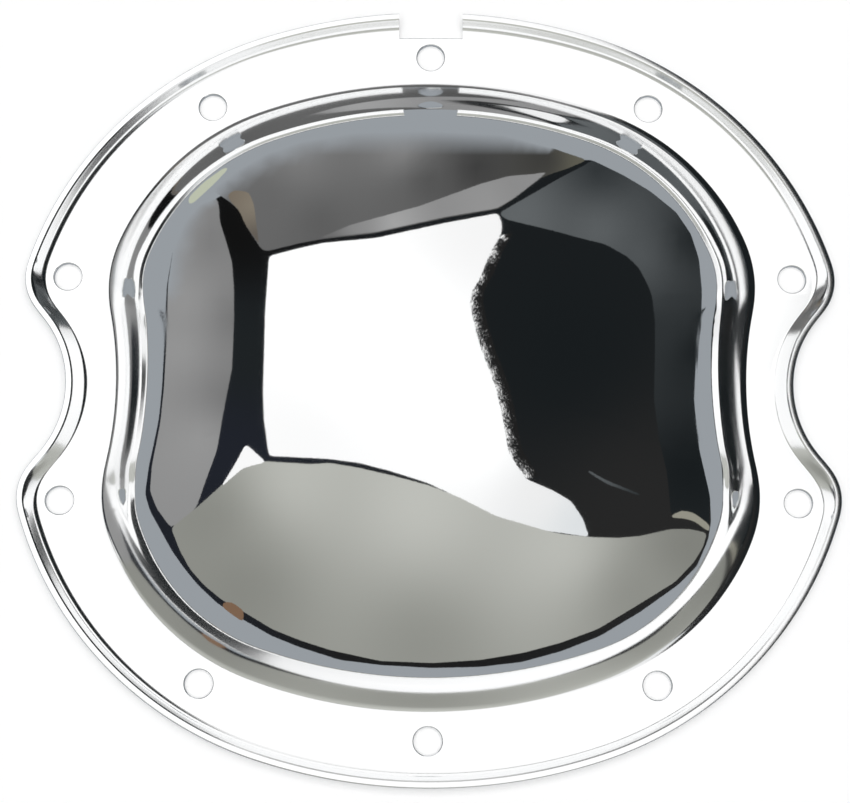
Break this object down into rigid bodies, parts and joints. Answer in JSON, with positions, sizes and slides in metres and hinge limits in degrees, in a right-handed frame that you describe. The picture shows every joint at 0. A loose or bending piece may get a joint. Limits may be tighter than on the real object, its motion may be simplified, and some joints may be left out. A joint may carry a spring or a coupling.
{
  "type": "differential cover",
  "caption": "Chromed pressed-steel differential cover: a domed bulge with waisted sides, a flat drilled flange and an edge lip turned up round it.",
  "frame": {"origin": "middle of the bolt pattern, on the gasket face", "axes": "+Z out of the dome, away from the axle housing; +Y to the gap in the edge lip, which is the cover's top; +X across"},
  "size_m": [0.2922, 0.2814, 0.0613],
  "materials": {
    "chrome": "mirror polished"
  },
  "bodies": {
    "root": {"cover": "chrome"}
  },
  "joints": []
}
